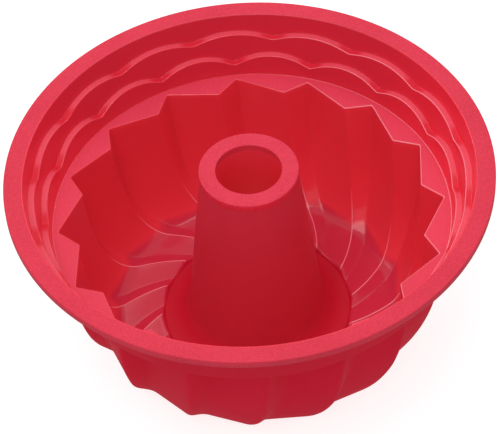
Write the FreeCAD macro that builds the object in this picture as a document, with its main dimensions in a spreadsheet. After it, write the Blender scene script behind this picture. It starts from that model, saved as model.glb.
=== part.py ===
import FreeCAD, Part
import math
import os
import Sketcher

# Fluted ring-cake (bundt) pan, 250 mm across the rim.  One silicone moulding: a heavy flat rim, a
# stepped collar, a flat star-shaped ledge, a bowl of swirled saw-tooth flutes, a floor with curved
# petals and a tapered chimney in the middle.  Each zone of the moulding is a sub-part of its own;
# neighbours meet face to face.  +Z is up, the origin is the middle of the flat underside.
# Flute valleys (outermost corners of the star) start on +X at the ledge and repeat every turn/flutes.

doc = FreeCAD.newDocument("bundt_pan")

# ---- driving sizes, mm and degrees ----------------------------------------------------------
sheet = doc.addObject("Spreadsheet::Sheet", "Sizes")
SIZES = [
    ("rim_radius", 125.0),      # outside of the flat rim
    ("rim_inner", 115.1),       # inside edge of the flat rim
    ("rim_thick", 4.3),
    ("rim_round", 0.7),         # broken outer edges of the rim
    ("wall", 2.1),              # thickness of every moulded wall
    ("pan_depth", 107.5),       # rim top to the deepest line of the floor
    ("petal_depth", 2.2),       # floor ridge above floor valley
    ("collar_depth", 33.3),     # rim top to the star ledge
    ("collar_lean", 0.146),     # radius lost per mm of collar height
    ("step_width", 3.4),        # each of the two scalloped steps
    ("upper_cusp", 13.7),       # depth of the low points of the upper scallops
    ("upper_arch", 3.8),        # rise of the upper scallops
    ("lower_cusp", 27.2),
    ("lower_arch", 5.8),
    ("scallop_seat", 3.0),      # plain height of a scallop ring under its cusps
    ("valley_radius", 100.2),   # star ledge, outer corners
    ("ridge_radius", 90.0),     # star ledge, inner corners
    ("bowl_radius", 70.3),      # where the curved corner runs into the level floor
    ("petal_end", 52.0),        # inner ends of the petals
    ("foot_radius", 49.5),      # level disc round the chimney
    ("flutes", 16),
    ("ridge_lag", 7.4),         # ridge ahead of its valley, degrees round
    ("swirl_wall", 0.044),      # degrees of swirl per mm of depth
    ("swirl_floor", 16.2),      # degrees of swirl over the first swirl_span of floor
    ("swirl_span", 30.0),
    ("swirl_start", 93.9),      # radius at which the extra swirl begins
    ("valley_power", 2.0),      # fullness of the bowl section along a valley
    ("ridge_power", 2.13),
    ("split_depth", 87.5),      # depth at which the flute walls end and the corner begins
    ("lip_radius", 25.6),       # flat top of the chimney, outside
    ("hole_radius", 16.9),      # hole in the chimney top
    ("hole_foot", 32.6),        # the same hole at the underside
    ("lip_thick", 4.3),
    ("lip_proud", 0.7),         # chimney top above the rim top
    ("chimney_flare", 0.113),   # radius gained per mm down the chimney
    ("chimney_fillet", 11.5),
]
S = {}
for row, (alias, value) in enumerate(SIZES, start=1):
    sheet.set("A%d" % row, alias)
    sheet.set("B%d" % row, str(value))
    sheet.setAlias("B%d" % row, alias)
doc.recompute()
for alias, value in SIZES:
    S[alias] = float(sheet.get(alias))

COUNT = int(S["flutes"])
STEP = 360.0 / COUNT
TOP = S["pan_depth"] + S["wall"]            # rim top above the underside
LEDGE = TOP - S["collar_depth"]             # top of the star ledge
SPLIT = TOP - S["split_depth"]              # joint plane between flute walls and corner
DEEP = S["wall"]                            # floor along a valley
HIGH = S["wall"] + S["petal_depth"]         # floor along a ridge

# The same heights as spreadsheet expressions
E_TOP = "(Sizes.pan_depth + Sizes.wall)"
E_LEDGE = "(Sizes.pan_depth + Sizes.wall - Sizes.collar_depth)"
E_HIGH = "(Sizes.wall + Sizes.petal_depth)"


# ---- helpers --------------------------------------------------------------------------------
def plane(body, role):
    for feature in body.Origin.OriginFeatures:
        if feature.Role == role:
            return feature


def closed_profile(body, name, corners, role="XZ_Plane"):
    """Sketch of straight lines through corners given as pairs of sheet expressions."""
    sketch = body.newObject("Sketcher::SketchObject", name)
    sketch.AttachmentSupport = (plane(body, role), [""])
    sketch.MapMode = "FlatFace"
    values = [(sheet_value(a), sheet_value(b)) for a, b in corners]
    count = len(values)
    for i in range(count):
        a = FreeCAD.Vector(values[i][0], values[i][1], 0)
        b = FreeCAD.Vector(values[(i + 1) % count][0], values[(i + 1) % count][1], 0)
        sketch.addGeometry(Part.LineSegment(a, b), False)
    for i in range(count):
        sketch.addConstraint(Sketcher.Constraint("Coincident", i, 2, (i + 1) % count, 1))
    for i, (across, up) in enumerate(corners):
        n = sketch.addConstraint(Sketcher.Constraint("DistanceX", -1, 1, i, 1, values[i][0]))
        sketch.setExpression("Constraints[%d]" % n, across)
        if up == "0":
            sketch.addConstraint(Sketcher.Constraint("PointOnObject", i, 1, -1))
        else:
            n = sketch.addConstraint(Sketcher.Constraint("DistanceY", -1, 1, i, 1, values[i][1]))
            sketch.setExpression("Constraints[%d]" % n, up)
    doc.recompute()
    return sketch


def sheet_value(expression):
    """Number that a sheet expression stands for."""
    probe = sheet.evalExpression(expression)
    return float(getattr(probe, "Value", probe))


def revolved(name, corners):
    """Body turned about the Z axis from a closed profile."""
    body = doc.addObject("PartDesign::Body", name)
    sketch = closed_profile(body, name + "_profile", corners)
    turn = body.newObject("PartDesign::Revolution", name + "_turn")
    turn.Profile = sketch
    turn.ReferenceAxis = (sketch, ["V_Axis"])
    turn.Angle = 360
    sketch.Visibility = False
    doc.recompute()
    return body, turn


def circle_edges(feature, radius, height):
    """Names of the circular edges of a feature at this radius and height."""
    found = []
    for number, edge in enumerate(feature.Shape.Edges, start=1):
        curve = edge.Curve
        if curve.TypeId != "Part::GeomCircle":
            continue
        if abs(curve.Radius - radius) < 0.01 and abs(edge.BoundBox.ZMin - height) < 0.01:
            found.append("Edge%d" % number)
    return found


def rounded(body, feature, name, edges, expression):
    fillet = body.newObject("PartDesign::Fillet", name)
    fillet.Base = (feature, edges)
    fillet.Radius = sheet_value(expression)
    fillet.setExpression("Radius", expression)
    doc.recompute()
    body.Tip = fillet
    return fillet


def collar_radius(depth_expression, steps):
    """Inner radius of the collar at a depth, after some of its steps."""
    return "(Sizes.rim_inner - Sizes.collar_lean * (%s) - %d * Sizes.step_width)" % (depth_expression, steps)


# ---- rim: flat heavy ring that the pan is carried by ------------------------------------------
rim, rim_turn = revolved("rim_flange", [
    ("Sizes.rim_inner", E_TOP + " - Sizes.rim_thick"),
    ("Sizes.rim_radius", E_TOP + " - Sizes.rim_thick"),
    ("Sizes.rim_radius", E_TOP),
    ("Sizes.rim_inner", E_TOP),
])
rim_edges = circle_edges(rim_turn, S["rim_radius"], TOP)
rim_edges += circle_edges(rim_turn, S["rim_radius"], TOP - S["rim_thick"])
rounded(rim, rim_turn, "rim_edges", rim_edges, "Sizes.rim_round")

# ---- collar: three plain leaning bands joined by two level steps, outside and inside ----------
UPPER_SEAT = "(Sizes.upper_cusp + Sizes.scallop_seat)"
LOWER_SEAT = "(Sizes.lower_cusp + Sizes.scallop_seat)"
band_top_in = collar_radius("Sizes.rim_thick", 0)
band1_in = collar_radius(UPPER_SEAT, 0)
band1_step = collar_radius(UPPER_SEAT, 1)
band2_in = collar_radius(LOWER_SEAT, 1)
band2_step = collar_radius(LOWER_SEAT, 2)
band3_in = collar_radius("Sizes.collar_depth", 2)
UPPER_Z = E_TOP + " - " + UPPER_SEAT
LOWER_Z = E_TOP + " - " + LOWER_SEAT
collar, collar_turn = revolved("collar_wall", [
    ("Sizes.rim_inner", E_TOP + " - Sizes.rim_thick"),
    (band1_in, UPPER_Z),
    (band1_step, UPPER_Z),
    (band2_in, LOWER_Z),
    (band2_step, LOWER_Z),
    (band3_in, E_LEDGE),
    (band3_in + " + Sizes.wall", E_LEDGE),
    (band2_step + " + Sizes.wall", LOWER_Z + " - 0.9 * Sizes.wall"),
    (band2_in + " + Sizes.wall", LOWER_Z + " - 0.9 * Sizes.wall"),
    (band1_step + " + Sizes.wall", UPPER_Z + " - Sizes.wall"),
    (band1_in + " + Sizes.wall", UPPER_Z + " - Sizes.wall"),
    ("Sizes.rim_inner + Sizes.wall", E_TOP + " - Sizes.rim_thick"),
])


# ---- scallop rings: the garlands of arches that stand on the two steps of the collar -----------
def scallop_ring(name, cusp, arch, seat, steps, turn_degrees):
    """Ring seated on a collar step, its top cut into arches by one notch per flute."""
    cusp_depth = "Sizes." + cusp
    rise = "Sizes." + arch
    seat_depth = "(%s + Sizes.scallop_seat)" % cusp_depth
    crown_depth = "(%s - 0.96 * %s)" % (cusp_depth, rise)
    body, turn = revolved(name, [
        (collar_radius(seat_depth, steps + 1), E_TOP + " - " + seat_depth),
        (collar_radius(seat_depth, steps), E_TOP + " - " + seat_depth),
        (collar_radius(crown_depth, steps), E_TOP + " - " + crown_depth),
        (collar_radius(crown_depth, steps + 1), E_TOP + " - " + crown_depth),
    ])
    # One notch: two arcs that fall from the crowns on either side and meet at the cusp
    radius = S["rim_inner"] - S["collar_lean"] * S[cusp] - (steps + 0.5) * S["step_width"]
    half = radius * math.sin(math.radians(STEP / 2))
    low = TOP - S[cusp]
    crown = low + S[arch]
    bend = (half * half + S[arch] * S[arch]) / (2 * S[arch])
    sketch = body.newObject("Sketcher::SketchObject", name + "_notch")
    sketch.AttachmentSupport = (plane(body, "YZ_Plane"), [""])
    sketch.MapMode = "FlatFace"
    above = crown + 4.0

    def on_arc(side, across):
        return FreeCAD.Vector(side * across, crown - bend + math.sqrt(bend * bend - (half - across) ** 2), 0)

    cusp_point = FreeCAD.Vector(0, low, 0)
    left = FreeCAD.Vector(-half, crown, 0)
    right = FreeCAD.Vector(half, crown, 0)
    left_top = FreeCAD.Vector(-half, above, 0)
    right_top = FreeCAD.Vector(half, above, 0)
    sketch.addGeometry(Part.Arc(left, on_arc(-1, half / 2), cusp_point), False)
    sketch.addGeometry(Part.Arc(cusp_point, on_arc(1, half / 2), right), False)
    sketch.addGeometry(Part.LineSegment(right, right_top), False)
    sketch.addGeometry(Part.LineSegment(right_top, left_top), False)
    sketch.addGeometry(Part.LineSegment(left_top, left), False)
    doc.recompute()
    before = turn.Shape.Volume
    notch = body.newObject("PartDesign::Pocket", name + "_notch_cut")
    notch.Profile = sketch
    notch.Type = 0
    notch.Length = S["rim_radius"]
    notch.setExpression("Length", "Sizes.rim_radius")
    notch.Reversed = True
    doc.recompute()
    if notch.Shape.Volume > before - 1.0:
        raise ValueError(name + ": the notch cut nothing")
    pattern = body.newObject("PartDesign::PolarPattern", name + "_notches")
    pattern.Originals = [notch]
    pattern.Axis = (plane(body, "Z_Axis"), [""])
    pattern.Angle = 360
    pattern.Occurrences = COUNT
    pattern.setExpression("Occurrences", "Sizes.flutes")
    body.Tip = pattern
    sketch.Visibility = False
    body.Placement = FreeCAD.Placement(FreeCAD.Vector(0, 0, 0), FreeCAD.Rotation(FreeCAD.Vector(0, 0, 1), turn_degrees))
    doc.recompute()
    return body


upper_ring = scallop_ring("upper_scallop_ring", "upper_cusp", "upper_arch", UPPER_SEAT, 0, STEP / 2)
lower_ring = scallop_ring("lower_scallop_ring", "lower_cusp", "lower_arch", LOWER_SEAT, 1, 0.0)


# ---- flute lines: section of the bowl along a valley and along a ridge -------------------------
def swirl(radius, height):
    """Degrees that a flute line has turned clockwise at this radius and height."""
    reach = max(0.0, S["swirl_start"] - radius) / S["swirl_span"]
    return -S["swirl_wall"] * (LEDGE - height) - S["swirl_floor"] * reach ** 1.37


def section(ridge, outside):
    """Start radius, bottom height and fullness of one section curve of the bowl."""
    start = S["ridge_radius"] if ridge else S["valley_radius"]
    bottom = HIGH if ridge else DEEP
    power = S["ridge_power"] if ridge else S["valley_power"]
    if outside:
        start = start + 1.25 * S["wall"]
        bottom = 0.0
    return start, bottom, power


def wall_point(ridge, outside, height):
    start, bottom, power = section(ridge, outside)
    part = (LEDGE - height) / (LEDGE - bottom)
    return S["bowl_radius"] + (start - S["bowl_radius"]) * (1 - part ** power) ** (1 / power)


def corner_point(ridge, outside, share):
    """Radius and height at a share (0 to 1) of the way round the corner below the split plane."""
    start, bottom, power = section(ridge, outside)
    part = (LEDGE - SPLIT) / (LEDGE - bottom)
    first = math.asin(part ** (power / 2))
    angle = first + (math.pi / 2 - first) * share
    radius = S["bowl_radius"] + (start - S["bowl_radius"]) * max(0.0, math.cos(angle)) ** (2 / power)
    height = LEDGE - (LEDGE - bottom) * math.sin(angle) ** (2 / power)
    return radius, height


def place(radius, height, degrees):
    angle = math.radians(degrees)
    return FreeCAD.Vector(radius * math.cos(angle), radius * math.sin(angle), height)


def line_through(points, level_end=False):
    """Smooth edge through points; level_end makes its last stretch run out level."""
    curve = Part.BSplineCurve()
    if level_end:
        first = points[1] - points[0]
        last = points[-1] - points[-2]
        last.z = 0.0
        curve.interpolate(Points=points, InitialTangent=first.normalize(), FinalTangent=last.normalize())
    else:
        curve.interpolate(points)
    return curve.toShape()


def corner_degrees(number):
    """Valley (even number) or ridge (odd number) of the star, before any swirl."""
    return (number // 2) * STEP + (S["ridge_lag"] if number % 2 else 0.0)


def flute_solid(inner, outer, level_end=False):
    """Closed solid between two sets of flute lines; facets are ruled from line to line."""
    faces = []
    total = len(inner)
    for lines in (inner, outer):
        edges = [line_through(points, level_end) for points in lines]
        for i in range(total):
            faces.append(Part.makeRuledSurface(edges[i], edges[(i + 1) % total]))
    for end in (0, -1):
        for i in range(total):
            j = (i + 1) % total
            loop = [inner[i][end], inner[j][end], outer[j][end], outer[i][end], inner[i][end]]
            faces.append(Part.Face(Part.makePolygon(loop)))
    shell = Part.makeShell(faces)
    shell.sewShape()
    solid = Part.makeSolid(shell)
    if solid.Volume < 0:
        solid.reverse()
    return solid


def feature(name, shape):
    made = doc.addObject("Part::Feature", name)
    made.Shape = shape
    made.Placement = FreeCAD.Placement()
    return made


# Flute walls: from under the ledge down to the split plane
WALL_ROWS = 9
inner_lines = []
outer_lines = []
for number in range(2 * COUNT):
    ridge = number % 2 == 1
    inside = []
    outside = []
    for row in range(WALL_ROWS):
        height = LEDGE - S["wall"] + (SPLIT - LEDGE + S["wall"]) * row / (WALL_ROWS - 1)
        radius = wall_point(ridge, False, height)
        degrees = corner_degrees(number) + swirl(radius, height)
        inside.append(place(radius, height, degrees))
        outside.append(place(wall_point(ridge, True, height), height, degrees))
    inner_lines.append(inside)
    outer_lines.append(outside)
fluted_wall = feature("fluted_wall", flute_solid(inner_lines, outer_lines))

# Corner: the same lines carried round into the level floor
CORNER_ROWS = 13
inner_lines = []
outer_lines = []
for number in range(2 * COUNT):
    ridge = number % 2 == 1
    inside = []
    outside = []
    for row in range(CORNER_ROWS):
        share = row / (CORNER_ROWS - 1)
        radius, height = corner_point(ridge, False, share)
        degrees = corner_degrees(number) + swirl(radius, height)
        inside.append(place(radius, height, degrees))
        radius, height = corner_point(ridge, True, share)
        outside.append(place(radius, height, degrees))
    inner_lines.append(inside)
    outer_lines.append(outside)
fluted_corner = feature("fluted_corner", flute_solid(inner_lines, outer_lines, True))

# Petal floor: saw-tooth petals on top, one flat underside
FLOOR_ROWS = 6
inner_lines = []
under_outer = []
under_inner = []
for number in range(2 * COUNT):
    ridge = number % 2 == 1
    height = HIGH if ridge else DEEP
    inside = []
    for row in range(FLOOR_ROWS):
        radius = S["bowl_radius"] + (S["petal_end"] - S["bowl_radius"]) * row / (FLOOR_ROWS - 1)
        degrees = corner_degrees(number) + swirl(radius, height)
        inside.append(place(radius, height, degrees))
    inner_lines.append(inside)
    under_outer.append(FreeCAD.Vector(inside[0].x, inside[0].y, 0))
    under_inner.append(FreeCAD.Vector(inside[-1].x, inside[-1].y, 0))
edges = [line_through(points) for points in inner_lines]
faces = []
for i in range(2 * COUNT):
    j = (i + 1) % (2 * COUNT)
    faces.append(Part.makeRuledSurface(edges[i], edges[j]))
    for end, under in ((0, under_outer), (-1, under_inner)):
        loop = [inner_lines[i][end], inner_lines[j][end], under[j], under[i], inner_lines[i][end]]
        faces.append(Part.Face(Part.makePolygon(loop)))
outer_loop = Part.makePolygon(under_outer + [under_outer[0]])
inner_loop = Part.makePolygon(under_inner + [under_inner[0]])
inner_loop.reverse()
faces.append(Part.Face([outer_loop, inner_loop]))
shell = Part.makeShell(faces)
shell.sewShape()
solid = Part.makeSolid(shell)
if solid.Volume < 0:
    solid.reverse()
petal_floor = feature("petal_floor", solid)

# ---- star ledge: flat ring with a saw-tooth opening that the flutes hang from ------------------
star_top = []
star_under = []
for number in range(2 * COUNT):
    ridge = number % 2 == 1
    radius = S["ridge_radius"] if ridge else S["valley_radius"]
    star_top.append(place(radius, LEDGE, corner_degrees(number) + swirl(radius, LEDGE)))
star_outline = feature("star_outline", Part.makePolygon(star_top + [star_top[0]]))
star_cut = doc.addObject("Part::Extrusion", "star_cut")
star_cut.Base = star_outline
star_cut.Dir = FreeCAD.Vector(0, 0, -1)
star_cut.DirMode = "Custom"
star_cut.Solid = True
star_cut.LengthFwd = 3 * S["wall"]
star_cut.setExpression("LengthFwd", "3 * Sizes.wall")
star_cut.LengthRev = 1.0
ledge_disc = doc.addObject("Part::Cylinder", "ledge_disc")
ledge_disc.Radius = sheet_value(band3_in + " + Sizes.wall")
ledge_disc.setExpression("Radius", band3_in + " + Sizes.wall")
ledge_disc.setExpression("Height", "Sizes.wall")
ledge_disc.setExpression("Placement.Base.z", E_LEDGE + " - Sizes.wall")
star_ledge = doc.addObject("Part::Cut", "star_ledge")
star_ledge.Base = ledge_disc
star_ledge.Tool = star_cut
doc.recompute()

# ---- foot ring: level floor between the petal ends and the chimney -----------------------------
foot_outline = feature("foot_outline", Part.makePolygon(under_inner + [under_inner[0]]))
foot_plate = doc.addObject("Part::Extrusion", "foot_plate")
foot_plate.Base = foot_outline
foot_plate.Dir = FreeCAD.Vector(0, 0, 1)
foot_plate.DirMode = "Custom"
foot_plate.Solid = True
foot_plate.LengthFwd = HIGH
foot_plate.setExpression("LengthFwd", E_HIGH)
foot_bore = doc.addObject("Part::Cylinder", "foot_bore")
foot_bore.setExpression("Radius", "Sizes.foot_radius")
foot_bore.setExpression("Height", E_HIGH + " + 4 * Sizes.wall")
foot_bore.setExpression("Placement.Base.z", "-2 * Sizes.wall")
foot_ring = doc.addObject("Part::Cut", "foot_ring")
foot_ring.Base = foot_plate
foot_ring.Tool = foot_bore
doc.recompute()

# ---- chimney: tapered tube with a wide foot, its bore open from below --------------------------
LIP_UNDER = "(%s + Sizes.lip_proud - Sizes.lip_thick)" % E_TOP
E_FLARED = "(Sizes.lip_radius - 0.3 + Sizes.chimney_flare * (%s - %s))" % (LIP_UNDER, E_HIGH)
E_BORE_TOP = "(Sizes.hole_radius + (Sizes.hole_foot - Sizes.hole_radius) * Sizes.lip_thick / (%s + Sizes.lip_proud))" % E_TOP
chimney, chimney_turn = revolved("chimney_tube", [
    ("Sizes.hole_foot", "0"),
    ("Sizes.foot_radius + 0", "0"),
    ("Sizes.foot_radius + 0", E_HIGH),
    (E_FLARED, E_HIGH),
    ("Sizes.lip_radius - 0.3", LIP_UNDER),
    (E_BORE_TOP, LIP_UNDER),
])
foot_edges = circle_edges(chimney_turn, sheet_value(E_FLARED), HIGH)
fillet_room = S["foot_radius"] - sheet_value(E_FLARED) - 0.3
if S["chimney_fillet"] > fillet_room:
    sheet.set("B%d" % (1 + [a for a, v in SIZES].index("chimney_fillet")), "%.2f" % fillet_room)
    doc.recompute()
rounded(chimney, chimney_turn, "chimney_foot", foot_edges, "Sizes.chimney_fillet")

# ---- chimney lip: flat ring that closes the chimney down to its hole ---------------------------
lip, lip_turn = revolved("chimney_lip", [
    (E_BORE_TOP, LIP_UNDER),
    ("Sizes.lip_radius - 0.3", LIP_UNDER),
    ("Sizes.lip_radius", E_TOP + " + Sizes.lip_proud - 0.5 * Sizes.lip_thick"),
    ("Sizes.lip_radius", E_TOP + " + Sizes.lip_proud"),
    ("Sizes.hole_radius", E_TOP + " + Sizes.lip_proud"),
])
lip_edges = circle_edges(lip_turn, S["lip_radius"], TOP + S["lip_proud"])
rounded(lip, lip_turn, "lip_edge", lip_edges, "Sizes.rim_round")

doc.recompute()

# ---- checks, then one file per sub-part ---------------------------------------------------------
NODES = [rim, collar, upper_ring, lower_ring, star_ledge, fluted_wall, fluted_corner, petal_floor,
         foot_ring, chimney, lip]
for item in doc.Objects:
    state = set(item.State)
    if state & {"Invalid", "Error"}:
        raise ValueError("%s did not compute: %s" % (item.Name, item.State))
for node in NODES:
    node.Label = node.Name
    if node.Shape.isNull() or not node.Shape.isValid():
        raise ValueError(node.Name + " has no valid shape")
    if len(node.Shape.Solids) != 1:
        raise ValueError("%s has %d solids" % (node.Name, len(node.Shape.Solids)))
    print("%-20s %9.1f mm3  z %.2f to %.2f" % (node.Label, node.Shape.Volume,
                                               node.Shape.BoundBox.ZMin, node.Shape.BoundBox.ZMax))
os.makedirs("parts", exist_ok=True)
for node in NODES:
    node.Shape.exportStep("parts/%s.step" % node.Label)
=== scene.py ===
import math

import bmesh
import bpy
from mathutils import Matrix, Vector


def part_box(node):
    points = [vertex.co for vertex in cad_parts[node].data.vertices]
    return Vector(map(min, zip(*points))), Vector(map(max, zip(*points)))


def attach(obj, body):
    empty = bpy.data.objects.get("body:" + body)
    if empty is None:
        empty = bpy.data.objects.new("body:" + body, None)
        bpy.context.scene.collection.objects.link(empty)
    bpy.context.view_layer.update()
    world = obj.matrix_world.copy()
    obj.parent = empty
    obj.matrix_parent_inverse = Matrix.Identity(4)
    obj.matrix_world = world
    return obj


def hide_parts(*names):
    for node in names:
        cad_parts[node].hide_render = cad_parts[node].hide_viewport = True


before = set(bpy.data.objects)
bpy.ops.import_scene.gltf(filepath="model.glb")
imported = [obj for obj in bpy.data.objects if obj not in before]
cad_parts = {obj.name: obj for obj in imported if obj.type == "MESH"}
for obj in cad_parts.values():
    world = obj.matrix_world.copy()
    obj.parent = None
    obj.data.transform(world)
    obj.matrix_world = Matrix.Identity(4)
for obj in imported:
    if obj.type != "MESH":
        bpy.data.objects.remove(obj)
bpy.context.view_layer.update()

# Rim: a heavy flat ring that stiffens the soft pan and that it is carried by.  Silicone, moulded
# in one with all the rest; the mould is blasted here, so the top comes out matt and finely
# grained, with its outer edges just broken.
rim_low, rim_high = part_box("rim_flange")
RIM_TOP = rim_high.z * 1000
RIM_UNDER = rim_low.z * 1000
RIM_OUTSIDE = rim_high.x * 1000
RIM_INSIDE = 115.1
RIM_EDGE = 0.7
WALL = 2.1
FLUTES = 16
PITCH = 360.0 / FLUTES
AROUND = 16 * FLUTES


def softened(corners, cuts=4):
    """Section through corners (radius, height, rounding); each rounded corner becomes a curve."""
    section = []
    for number, (radius, height, rounding) in enumerate(corners):
        here = Vector((radius, height))
        if not rounding:
            section.append(here)
            continue
        back = (Vector(corners[number - 1][:2]) - here).normalized() * rounding
        ahead = (Vector(corners[number + 1][:2]) - here).normalized() * rounding
        for cut in range(cuts + 1):
            share = cut / cuts
            section.append(here + back * (1 - share) ** 2 + ahead * share ** 2)
    return section


def polar(radius, degrees, height):
    """Point at a radius, a turn round the axis and a height."""
    turn = math.radians(degrees)
    return Vector((radius * math.cos(turn), radius * math.sin(turn), height))


def round_loop(radius, height):
    """Level ring of points at one radius and height."""
    return [polar(radius, 360.0 * n / AROUND, height) for n in range(AROUND)]


def drawn_ring(name, loops, finishes, bands=(), soft_angle=32):
    """Closed ring of silicone: a circle is drawn out loop by loop round its section to the start.
    A band (first loop, last loop, finish, columns) takes another finish than the first of the list,
    all round or only between the named ones of the sixteen columns of each flute."""
    bpy.ops.object.select_all(action="DESELECT")
    bpy.ops.mesh.primitive_circle_add(vertices=len(loops[0]), radius=0.1)
    piece = bpy.context.object
    piece.name = piece.data.name = name
    bpy.ops.object.mode_set(mode="EDIT")
    bpy.ops.mesh.select_mode(type="VERT")
    bpy.ops.mesh.select_all(action="SELECT")
    net = bmesh.from_edit_mesh(piece.data)
    place = net.verts.layers.int.new("place")
    for number, point in enumerate(net.verts):
        point[place] = number
        point.co = loops[0][number] * 0.001
    for finish in finishes:
        piece.data.materials.append(finish)
    for count, loop in enumerate(loops[1:] + loops[:1]):
        bpy.ops.mesh.extrude_region_move()
        net = bmesh.from_edit_mesh(piece.data)
        place = net.verts.layers.int["place"]
        for point in net.verts:
            if point.select:
                point.co = loop[point[place]] * 0.001
                for face in point.link_faces:
                    columns = {corner[place] % 16 for corner in face.verts}
                    face.material_index = 0
                    for first, last, finish, *only in bands:
                        if first <= count < last and (not only or columns <= set(only)):
                            face.material_index = finish
    bpy.ops.mesh.select_all(action="SELECT")
    bpy.ops.mesh.remove_doubles(threshold=0.0000005)
    bpy.ops.mesh.normals_make_consistent(inside=False)
    bpy.ops.object.mode_set(mode="OBJECT")
    piece.data.attributes.remove(piece.data.attributes["place"])
    bpy.ops.object.shade_smooth_by_angle(angle=math.radians(soft_angle))
    return piece


class Signal:
    """A shader socket that can be used in a Python expression."""

    def __init__(self, nodes, socket):
        self.nodes = nodes
        self.socket = socket

    def node(self, kind, output=0, settings=(), **inputs):
        """Adds a node: its settings first, then the values or links of its sockets."""
        made = self.nodes.new(kind)
        for key, value in dict(settings).items():
            setattr(made, key, value)
        for key, value in inputs.items():
            numbered = key[0] == "i" and key[1:].isdigit()
            target = made.inputs[int(key[1:]) if numbered else key.replace("_", " ")]
            if isinstance(value, Signal):
                self.nodes.id_data.links.new(value.socket, target)
            else:
                target.default_value = value
        return Signal(self.nodes, made.outputs[output])

    def fade(self, low, high, at_low, at_high):
        """Goes softly from one value to another as this signal rises from low to high."""
        return self.node("ShaderNodeMapRange", settings={"interpolation_type": "SMOOTHSTEP"},
                         Value=self, From_Min=low, From_Max=high, To_Min=at_low, To_Max=at_high)

    def blend(self, first, second):
        """Mixes two colours by this signal."""
        return self.node("ShaderNodeMix", 2, {"data_type": "RGBA"}, Factor=self, i6=first, i7=second)

    def maths(self, operation, first, second):
        return self.node("ShaderNodeMath", settings={"operation": operation}, i0=first, i1=second)

    def __add__(self, other):
        return self.maths("ADD", self, other)

    def __sub__(self, other):
        return self.maths("SUBTRACT", self, other)

    def __mul__(self, other):
        return self.maths("MULTIPLY", self, other)

    __radd__ = __add__
    __rmul__ = __mul__

    def __rsub__(self, other):
        return self.maths("SUBTRACT", other, self)


PALE_DUST = (0.9, 0.3, 0.36, 1.0)


def silicone(name, colour, deep_colour, roughness, grain, ripple, shine, fade=None):
    """Red silicone: a fine grain from the mould, faint slow ripples, and a colour that clouds a little.
    A fade (way, low, high, colour, roughness) paints light or shade: it goes over to another tone from
    high down to low, along x, y or z in millimetres, or along a swing that is 1 between the cusps of a row
    and -1 at them."""
    material = bpy.data.materials.new(name)
    material.use_nodes = True
    nodes = material.node_tree.nodes
    skin = nodes["Principled BSDF"]
    where = Signal(nodes, nodes.new("ShaderNodeTexCoord").outputs["Object"])
    cloud = where.node("ShaderNodeTexNoise", Vector=where, Scale=28.0, Detail=3.0, Roughness=0.55)
    speck = where.node("ShaderNodeTexNoise", Vector=where, Scale=1700.0, Detail=2.0, Roughness=0.6)
    dust = where.node("ShaderNodeTexVoronoi", Vector=where, Scale=420.0)
    mark = dust.fade(0.0, 0.16, 1.0, 0.0)
    body = ((cloud - 0.5) * 0.9 + 0.5 + (speck - 0.5) * (2.2 * grain)).blend(colour, deep_colour)
    smooth = (cloud - 0.5) * 0.10 + roughness + (speck - 0.5) * (0.14 * grain)
    gloss = smooth
    # The fade paints light or shade: it mixes in another tone by place.
    if fade:
        way, low, high, painted_light_colour, far_roughness = fade
        x, y, z = (where.node("ShaderNodeSeparateXYZ", axis, Vector=where) * 1000.0 for axis in range(3))
        turn = x.maths("ARCTAN2", y, x)
        swing = turn.node("ShaderNodeMath", settings={"operation": "COSINE"}, i0=turn * float(FLUTES))
        along = {"x": x, "y": y, "z": z, "upper row": swing, "lower row": swing * -1.0}[way]
        share = along.fade(low, high, 1.0, 0.0)
        body = share.blend(body, painted_light_colour)
        gloss = smooth + share * (far_roughness - roughness)
    dusted = (mark * (0.10 * grain)).blend(body, PALE_DUST)
    swell = where.node("ShaderNodeTexNoise", Vector=where, Scale=60.0, Detail=1.0, Roughness=0.4)
    height = speck * (0.00018 * grain) + swell * ripple
    relief = where.node("ShaderNodeBump", Height=height, Strength=1.0, Distance=1.0)
    links = material.node_tree.links
    links.new(dusted.socket, skin.inputs["Base Color"])
    links.new(gloss.socket, skin.inputs["Roughness"])
    links.new(relief.socket, skin.inputs["Normal"])
    skin.inputs["IOR"].default_value = 1.43
    skin.inputs["Specular IOR Level"].default_value = shine
    return material


matt_silicone = silicone("matt silicone", (0.89, 0.047, 0.094, 1), (0.69, 0.027, 0.058, 1),
                         0.55, 1.2, 0.0, 0.3)

rim_section = softened([
    (RIM_INSIDE + 0.6, RIM_TOP, 0),
    (120.0, RIM_TOP, 0),
    (RIM_OUTSIDE, RIM_TOP, RIM_EDGE),
    (RIM_OUTSIDE, RIM_UNDER, RIM_EDGE),
    (121.0, RIM_UNDER, 0),
    (RIM_INSIDE + WALL + 1.0, RIM_UNDER, 0),
])
rim = drawn_ring("rim", [round_loop(*spot) for spot in rim_section], [matt_silicone])
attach(rim, "root")
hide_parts("rim_flange")

# Collar: the leaning wall under the rim, of the same silicone.  It comes in by two narrow steps
# whose edges run in garlands of arches, sixteen to a row, the lower row half an arch on from the
# upper.  Its outside has two plain round steps where the core backed the inner ones.
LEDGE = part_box("star_ledge")[1].z * 1000
LEAN = 0.146
STEP = 3.4
UPPER_CUSP, UPPER_ARCH = 13.7, 3.8
LOWER_CUSP, LOWER_ARCH = 27.2, 5.8
SEAT = 3.0


def collar_inside(depth, steps):
    return RIM_INSIDE - LEAN * depth - STEP * steps


def garland(turn, cusp_turn, cusp, arch, middle):
    """Depth of a row of arches below the rim at this turn round the pan."""
    half = middle * math.radians(PITCH / 2)
    away = (turn - cusp_turn) % PITCH
    across = min(away, PITCH - away) / (PITCH / 2) * half
    across = math.sqrt(across * across + 0.8) - 0.3
    bend = (half * half + arch * arch) / (2 * arch)
    return cusp - arch + bend - math.sqrt(bend * bend - (half - min(across, half)) ** 2)


# Glossy satin of the flutes, with painted shade on the floor of the bowl: darker red at and below 4.2 mm,
# going over to the satin red by 8 mm.
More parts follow.
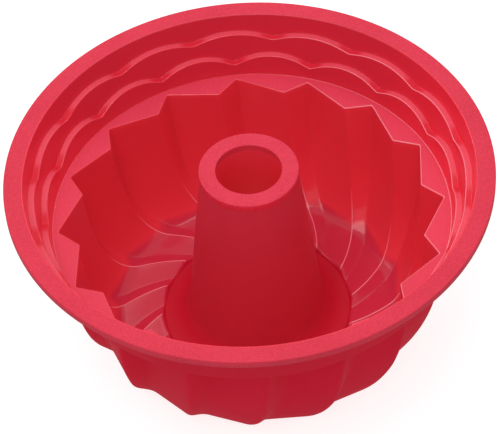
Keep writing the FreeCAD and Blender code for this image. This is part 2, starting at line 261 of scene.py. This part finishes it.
satin_silicone_painted_floor_shade = silicone("satin silicone, painted floor shade", (0.94, 0.050, 0.082, 1), (0.89, 0.045, 0.076, 1),
                          0.10, 0.15, 0.00006, 0.5,
                          fade=("z", 4.2, 8.0, (0.68, 0.032, 0.075, 1), 0.06))
dull_silicone = silicone("dull silicone", (0.88, 0.010, 0.044, 1), (0.81, 0.009, 0.039, 1),
                         0.62, 0.6, 0.00008, 0.12)
# Collar wall with painted shade: darker red towards the back of the pan (y from 10 mm to 95 mm), lighter
# at the front.
wall_silicone_painted_back_shade = silicone("wall silicone, painted back shade", (0.75, 0.030, 0.058, 1), (0.70, 0.027, 0.054, 1),
                         0.14, 0.2, 0.00006, 0.45,
                         fade=("y", 10.0, 95.0, (0.96, 0.030, 0.062, 1), 0.14))
# Painted highlight for rounded edges: a pale pink, shiny line on the right of the pan (x up to 75 mm),
# plain red on the left.
edge_painted_highlight = silicone("edge painted highlight silicone", (1.0, 0.24, 0.30, 1), (0.97, 0.20, 0.26, 1), 0.20, 0.3, 0.0, 0.8,
                         fade=("x", 0.0, 75.0, (0.90, 0.050, 0.080, 1), 0.15))
# Painted sheen on the flats of the two steps: pink between the cusps, going over to plain red near each
# cusp of the row.
upper_step_painted_sheen, lower_step_painted_sheen = (
    silicone(f"{row} step painted sheen silicone", (0.93, 0.075, 0.125, 1), (0.88, 0.068, 0.115, 1), 0.50, 0.8, 0.0, 0.5,
             fade=(f"{row} row", -0.90, -0.30, (0.82, 0.014, 0.042, 1), 0.60))
    for row in ("upper", "lower"))
# along the section, ten loops down to each level step, then four round its broken edge
collar_loops = []
for n in range(AROUND):
    turn = n * 360.0 / AROUND
    upper = garland(turn, PITCH / 2, UPPER_CUSP, UPPER_ARCH, 111.0)
    lower = garland(turn, 0.0, LOWER_CUSP, LOWER_ARCH, 106.0)
    ledge_depth = RIM_TOP - LEDGE
    upper_back = RIM_TOP - UPPER_CUSP - SEAT - WALL
    lower_back = RIM_TOP - LOWER_CUSP - SEAT - 0.9 * WALL
    section = softened([
        (RIM_INSIDE + 0.6, RIM_TOP, 0),
        (RIM_INSIDE, RIM_TOP, 0.5),
        (collar_inside(upper, 0), RIM_TOP - upper, 0.3),
        (collar_inside(upper, 1), RIM_TOP - upper, 0.35),
        (collar_inside(lower, 1), RIM_TOP - lower, 0.3),
        (collar_inside(lower, 2), RIM_TOP - lower, 0.35),
        (collar_inside(ledge_depth, 2), LEDGE, 0.4),
        (collar_inside(ledge_depth, 2) - 0.5, LEDGE, 0),
        (collar_inside(ledge_depth, 2), LEDGE - WALL, 0),
        (collar_inside(ledge_depth, 2) + WALL, LEDGE - WALL, 1.2),
        (collar_inside(LOWER_CUSP + SEAT, 2) + WALL, lower_back, 0.8),
        (collar_inside(LOWER_CUSP + SEAT, 1) + WALL, lower_back, 0.8),
        (collar_inside(UPPER_CUSP + SEAT, 1) + WALL, upper_back, 0.8),
        (collar_inside(UPPER_CUSP + SEAT, 0) + WALL, upper_back, 0.8),
        (RIM_INSIDE + WALL, RIM_UNDER, 0.9),
        (RIM_INSIDE + WALL + 1.0, RIM_UNDER, 0),
    ])
    collar_loops.append([polar(spot.x, turn, spot.y) for spot in section])
back_start = next(number for number, spot in enumerate(section) if spot.y < LEDGE - 1)
collar = drawn_ring(
    "collar",
    [list(loop) for loop in zip(*collar_loops)],
    [wall_silicone_painted_back_shade, dull_silicone, upper_step_painted_sheen, edge_painted_highlight, lower_step_painted_sheen],
    [
        (back_start, len(section), 1),
        # Step flats: painted sheen.
        (10, 11, 2),
        (20, 21, 4),
        # Rounded step edges and the foot at the ledge: painted highlight.
        (11, 15, 3),
        (21, 25, 3),
        (29, back_start, 3),
    ],
)
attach(collar, "root")
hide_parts("collar_wall", "upper_scallop_ring", "lower_scallop_ring")

# Fluted bowl: sixteen saw-tooth flutes that hang from the ledge, turn as they go down and run out
# as curved petals on the floor.  One skin of silicone, drawn off a polished steel core, so the
# facets come out glossy; the corners of the flutes are rounded by about a millimetre.
BOWL_RADIUS = 70.3
PETAL_END = 52.0
FOOT_RADIUS = 49.5
VALLEY_FLOOR = 2.1
RIDGE_FLOOR = 4.3
SPLIT = 22.1
RIDGE_LAG = 7.4
EDGE = 0.5


def swirl(radius, height):
    return -0.044 * (LEDGE - height) - 16.2 * (max(0.0, 93.9 - radius) / 30.0) ** 1.37


def flute_line(ridge, outside):
    """Start radius, floor height and fullness of the bowl along a ridge or a valley of the flutes."""
    start = 90.0 if ridge else 100.2
    floor = RIDGE_FLOOR if ridge else VALLEY_FLOOR
    if outside:
        start, floor = start + 1.25 * WALL, 0.0
    return start, floor, 2.13 if ridge else 2.0


def at_height(ridge, outside, height):
    start, floor, power = flute_line(ridge, outside)
    part = (LEDGE - height) / (LEDGE - floor)
    return BOWL_RADIUS + (start - BOWL_RADIUS) * (1 - part ** power) ** (1 / power), height


def at_share(ridge, outside, share):
    start, floor, power = flute_line(ridge, outside)
    part = (LEDGE - SPLIT) / (LEDGE - floor)
    first = math.asin(part ** (power / 2))
    angle = first + (math.pi / 2 - first) * share
    radius = BOWL_RADIUS + (start - BOWL_RADIUS) * max(0.0, math.cos(angle)) ** (2 / power)
    return radius, LEDGE - (LEDGE - floor) * math.sin(angle) ** (2 / power)


def star_loop(valley, ridge, valley_turn, ridge_turn, valley_round, ridge_round, outward=0.0):
    """Saw-tooth loop from one valley and one ridge corner (radius, height), its corners rounded."""
    corners = []
    for step in range(-1, 3):
        corners.append(polar(valley[0], valley_turn + PITCH * step, valley[1]))
        corners.append(polar(ridge[0], ridge_turn + RIDGE_LAG + PITCH * step, ridge[1]))
    if outward:
        moved = []
        for k in range(1, 6):
            a, b, c = corners[k - 1], corners[k], corners[k + 1]
            first = Vector((b.y - a.y, a.x - b.x, 0)).normalized()
            second = Vector((c.y - b.y, b.x - c.x, 0)).normalized()
            bisector = (first + second).normalized()
            moved.append(b + bisector * (outward / bisector.dot(first)))
        corners = [None] + moved
    before, valley_at, ridge_at, after = corners[1:5]

    def rounded(back, here, ahead, size):
        b = (back - here).normalized() * min(size, 0.4 * (back - here).length)
        a = (ahead - here).normalized() * min(size, 0.4 * (ahead - here).length)
        return [here + b * (1 - s) ** 2 + a * s ** 2 for s in (0, 0.25, 0.5, 0.75, 1)]

    low = rounded(before, valley_at, ridge_at, valley_round)
    high = rounded(valley_at, ridge_at, after, ridge_round)
    next_low = Matrix.Rotation(math.radians(PITCH), 3, "Z") @ low[0]
    short_side = [low[-1].lerp(high[0], k / 3) for k in (1, 2)]
    long_side = [high[-1].lerp(next_low, k / 5) for k in (1, 2, 3, 4)]
    tooth = low + short_side + high + long_side
    loop = []
    for step in range(FLUTES):
        turned = Matrix.Rotation(math.radians(PITCH * step), 3, "Z")
        loop += [turned @ point for point in tooth]
    return loop


def flute_loop(outside, valley, ridge, outward=0.0):
    """One loop of the bowl skin; the outside follows the swirl of the inside at the same level."""
    inner_valley, inner_ridge = outside or (valley, ridge)
    valley_round, ridge_round = (2.2, 2.6) if outside else (1.1, 0.7)
    turns = swirl(*inner_valley), swirl(*inner_ridge)
    return star_loop(valley, ridge, *turns, valley_round, ridge_round, outward)


def inside_at(height):
    return at_height(False, False, height), at_height(True, False, height)


def outside_at(height):
    return at_height(False, True, height), at_height(True, True, height)


bowl_loops = []
# the broken edge of the star, then the wall down to the split, the corner and the floor
for degrees in (0, 30, 60):
    turn = math.radians(degrees)
    height = LEDGE - EDGE * (1 - math.cos(turn))
    at = inside_at(height)
    bowl_loops.append(flute_loop(None, at[0], at[1], outward=EDGE * (1 - math.sin(turn))))
WALL_ROWS = 18
for row in range(WALL_ROWS):
    height = LEDGE - EDGE + (SPLIT - LEDGE + EDGE) * row / WALL_ROWS
    at = inside_at(height)
    bowl_loops.append(flute_loop(None, at[0], at[1]))
CORNER_ROWS = 16
for row in range(CORNER_ROWS + 1):
    share = row / CORNER_ROWS
    bowl_loops.append(flute_loop(None, at_share(False, False, share), at_share(True, False, share)))
for row in range(1, 9):
    radius = BOWL_RADIUS + (PETAL_END - BOWL_RADIUS) * row / 8
    bowl_loops.append(flute_loop(None, (radius, VALLEY_FLOOR), (radius, RIDGE_FLOOR)))
for share in (0.2, 0.4, 0.6, 0.8, 1.0):
    radius = PETAL_END - 2.0 * share
    fall = share * share * (3 - 2 * share)
    ridge_level = RIDGE_FLOOR + (VALLEY_FLOOR - RIDGE_FLOOR) * fall
    bowl_loops.append(flute_loop(None, (radius, VALLEY_FLOOR), (radius, ridge_level)))
foot_turns = [math.degrees(math.atan2(point.y, point.x)) for point in bowl_loops[-1]]
bowl_loops.append([polar(FOOT_RADIUS, turn, VALLEY_FLOOR) for turn in foot_turns])
under_start = len(bowl_loops)
# Painted shade: a darker, duller red with almost no shine for the petal ends and the ring at the chimney
# foot.
foot_painted_shade = silicone("foot painted shade silicone", (0.60, 0.008, 0.030, 1), (0.57, 0.007, 0.028, 1),
                         0.55, 0.3, 0.00006, 0.03)
# Painted highlight on the crests of the ridges: a pale pink, shiny line below 25 mm, full from 7 mm down,
# satin red above.
ridge_painted_highlight = silicone("ridge painted highlight silicone", (0.94, 0.050, 0.082, 1), (0.89, 0.045, 0.076, 1),
                        0.10, 0.2, 0.0, 0.5,
                        fade=("z", 7.0, 25.0, (0.97, 0.24, 0.32, 1), 0.15))
for radius in (FOOT_RADIUS, 56.0, 63.0):
    bowl_loops.append([polar(radius, turn, 0) for turn in foot_turns])
for row in range(CORNER_ROWS + 1):
    share = 1 - row / CORNER_ROWS
    inner = at_share(False, False, share), at_share(True, False, share)
    bowl_loops.append(flute_loop(inner, at_share(False, True, share), at_share(True, True, share)))
for row in range(1, WALL_ROWS + 1):
    height = SPLIT + (LEDGE - WALL - 1.0 - SPLIT) * row / WALL_ROWS
    bowl_loops.append(flute_loop(inside_at(height), *outside_at(height)))
for degrees in (30, 60, 90):
    turn = math.radians(degrees)
    height = LEDGE - WALL - 1.0 + math.sin(turn)
    bowl_loops.append(flute_loop(inside_at(height), *outside_at(height), outward=1 - math.cos(turn)))
bowl = drawn_ring(
    "fluted_bowl",
    bowl_loops,
    [satin_silicone_painted_floor_shade, dull_silicone, foot_painted_shade, edge_painted_highlight, ridge_painted_highlight],
    [
        (under_start, len(bowl_loops), 1),
        # Ends of the petals and the ring at the chimney foot: painted shade.
        (under_start - 4, under_start, 2),
        # Broken edge of the star: painted highlight.
        (0, 3, 3),
        # Middle of each ridge's rounding, from the lower walls over the floor: painted highlight.
        (9, under_start - 5, 4, 8, 9, 10),
    ],
    40,
)
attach(bowl, "root")
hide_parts("fluted_wall", "fluted_corner", "petal_floor", "foot_ring")

# Ledge: the flat shelf between collar and flutes, with the star-shaped opening.  Moulded in one
# with both; like the rim it is matt on top.  Its two edges are the skins of its neighbours.
ledge_out = collar_inside(RIM_TOP - LEDGE, 2)


def ring_under(loop, radius, height):
    """Round loop whose points lie straight out from those of a star loop."""
    return [Vector((point.x, point.y, 0)).normalized() * radius + Vector((0, 0, height)) for point in loop]


star_edge = bowl_loops[0]
star_back = bowl_loops[-1]
ledge = drawn_ring("star_ledge_skin", [
    ring_under(star_edge, ledge_out - 0.5, LEDGE),
    star_edge,
    star_back,
    ring_under(star_back, ledge_out, LEDGE - WALL),
], [silicone("ledge silicone", (0.92, 0.062, 0.120, 1), (0.76, 0.044, 0.090, 1), 0.52, 0.9, 0.0, 0.35)])
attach(ledge, "root")
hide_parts("star_ledge")

# Chimney: the tapered tube that makes the hole of the cake and carries heat to its middle.  It
# stands on the level foot of the bowl with a broad fillet; the hole through it opens downwards.
LIP_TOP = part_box("chimney_lip")[1].z * 1000
LIP_UNDER = 106.0
HOLE_TOP = 16.9
HOLE_SLOPE = (32.6 - HOLE_TOP) / LIP_TOP
TUBE_TOP = 25.3
TUBE_FOOT = 36.8


def hole(height):
    return HOLE_TOP + HOLE_SLOPE * (LIP_TOP - height)


# Chimney with painted shade: a darker red than the thin walls, going darker still from 15 mm down to 2.4
# mm at its foot.
thick_silicone_painted_shade = silicone("thick silicone, painted shade", (0.67, 0.042, 0.076, 1), (0.62, 0.038, 0.069, 1),
                          0.34, 0.4, 0.00006, 0.25,
                          fade=("z", 2.4, 15.0, (0.60, 0.008, 0.030, 1), 0.55))
bore_silicone_painted_glow = silicone("bore silicone, painted glow", (0.90, 0.05, 0.09, 1), (0.86, 0.045, 0.08, 1),
                         0.60, 0.5, 0.00004, 0.2)
# Painted glow: a faint red emission in the bore stands in for light coming through the tube.
bore_painted_glow_skin = bore_silicone_painted_glow.node_tree.nodes["Principled BSDF"]
bore_painted_glow_skin.inputs["Emission Color"].default_value = (1.0, 0.02, 0.03, 1)
bore_painted_glow_skin.inputs["Emission Strength"].default_value = 0.055
tube_section = softened([
    (FOOT_RADIUS, VALLEY_FLOOR, 0),
    (TUBE_FOOT, VALLEY_FLOOR, 12.4),
    (TUBE_FOOT + (TUBE_TOP - TUBE_FOOT) * 0.33, RIDGE_FLOOR + (LIP_UNDER - RIDGE_FLOOR) * 0.33, 0),
    (TUBE_FOOT + (TUBE_TOP - TUBE_FOOT) * 0.66, RIDGE_FLOOR + (LIP_UNDER - RIDGE_FLOOR) * 0.66, 0),
    (TUBE_TOP, LIP_UNDER, 0),
    (hole(LIP_UNDER), LIP_UNDER, 0),
    (hole(70.0), 70.0, 0),
    (hole(35.0), 35.0, 0),
    (hole(0.0), 0.0, 0.6),
    (FOOT_RADIUS, 0.0, 0),
], 8)
bore_start = next(number for number, spot in enumerate(tube_section)
                  if spot.x < TUBE_TOP - 1 and spot.y > LIP_UNDER - 1)
tube_loops = [round_loop(*spot) for spot in tube_section]
tube_bands = [(bore_start, len(tube_loops), 1)]
tube = drawn_ring("chimney", tube_loops, [thick_silicone_painted_shade, bore_silicone_painted_glow], tube_bands, 40)
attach(tube, "root")
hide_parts("chimney_tube")

# Lip: the flat matt top of the chimney, a little proud of the rim, its edges rounded.
lip_section = softened([
    (TUBE_TOP, LIP_UNDER, 0),
    (25.6, LIP_UNDER + 2.0, 0),
    (25.6, LIP_TOP, 0.7),
    (21.0, LIP_TOP, 0),
    (HOLE_TOP, LIP_TOP, 0.5),
    (hole(LIP_UNDER), LIP_UNDER, 0),
])
lip = drawn_ring("lip", [round_loop(*spot) for spot in lip_section], [matt_silicone], soft_angle=40)
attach(lip, "root")
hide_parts("chimney_lip")

# Studio: a pale floor under a white sky, with a broad soft light high up and two smaller ones behind
# the pan.  The floor lights nothing itself, so the sides of the pan stay deep red.
bpy.ops.object.select_all(action="DESELECT")
bpy.ops.mesh.primitive_plane_add(size=12.0, location=(0, 0, 0))
floor = bpy.context.object
floor.name = "studio_floor"
paper = bpy.data.materials.new("white paper")
paper.use_nodes = True
sheet = paper.node_tree.nodes["Principled BSDF"]
sheet.inputs["Base Color"].default_value = (0.40, 0.40, 0.40, 1)
sheet.inputs["Roughness"].default_value = 0.9
sheet.inputs["Specular IOR Level"].default_value = 0.1
sheet.inputs["Emission Color"].default_value = (1, 1, 1, 1)
sheet.inputs["Emission Strength"].default_value = 0.8
floor.data.materials.append(paper)
floor.visible_diffuse = False
floor.visible_glossy = False
floor.visible_shadow = False

sky = bpy.data.worlds.new("white sky")
sky.use_nodes = True
heavens = sky.node_tree.nodes
direction = Signal(heavens, heavens.new("ShaderNodeTexCoord").outputs["Generated"])
height = direction.node("ShaderNodeSeparateXYZ", 2, Vector=direction)
glow = direction.node("ShaderNodeMapRange", Value=height, From_Min=-0.2, From_Max=0.9,
                      To_Min=0.48, To_Max=0.66)
heavens["Background"].inputs["Color"].default_value = (1, 1, 1, 1)
sky.node_tree.links.new(glow.socket, heavens["Background"].inputs["Strength"])
bpy.context.scene.world = sky


def soft_box(name, place, width, depth, radiance):
    """Broad soft light that looks at the pan, as bright all over as a lit sheet."""
    data = bpy.data.lights.new(name, "AREA")
    data.shape = "RECTANGLE"
    data.size, data.size_y = width, depth
    data.energy = radiance * math.pi * width * depth
    box = bpy.data.objects.new(name, data)
    box.location = place
    box.rotation_euler = (Vector((0, 0, 0.05)) - Vector(place)).to_track_quat("-Z", "Y").to_euler()
    bpy.context.collection.objects.link(box)


soft_box("key light", (-0.30, -0.55, 1.85), 1.1, 1.1, 2.9)
soft_box("back light", (0.05, 0.95, 1.15), 1.1, 0.7, 1.0)
soft_box("window light", (-1.05, 0.95, 0.62), 0.34, 0.34, 5.0)

eye_data = bpy.data.cameras.new("camera")
eye_data.sensor_width = 36.0
eye_data.lens = 177.34
eye = bpy.data.objects.new("camera", eye_data)
bpy.context.collection.objects.link(eye)
slope = math.radians(46.67)
turned = Matrix.Rotation(math.radians(-2.06), 3, "Z")
stand = Vector((0, -math.cos(slope), math.sin(slope)))
aim = -stand
aside = Vector((1, 0, 0))
over = aside.cross(aim)
aim = (aim - 0.0007 * aside - 0.0190 * over).normalized()
aside = aim.cross(Vector((0, 0, 1))).normalized()
over = aside.cross(aim)
roll = math.radians(-3.76)
flat = math.cos(roll) * aside + math.sin(roll) * over
rise = -math.sin(roll) * aside + math.cos(roll) * over
spot = turned @ (stand * 1.25) + Vector((0, 0, RIM_TOP * 0.001))
columns = Matrix((turned @ flat, turned @ rise, turned @ -aim)).transposed()
eye.matrix_world = Matrix.Translation(spot) @ columns.to_4x4()
bpy.context.scene.camera = eye
bpy.context.scene.view_settings.view_transform = "Standard"
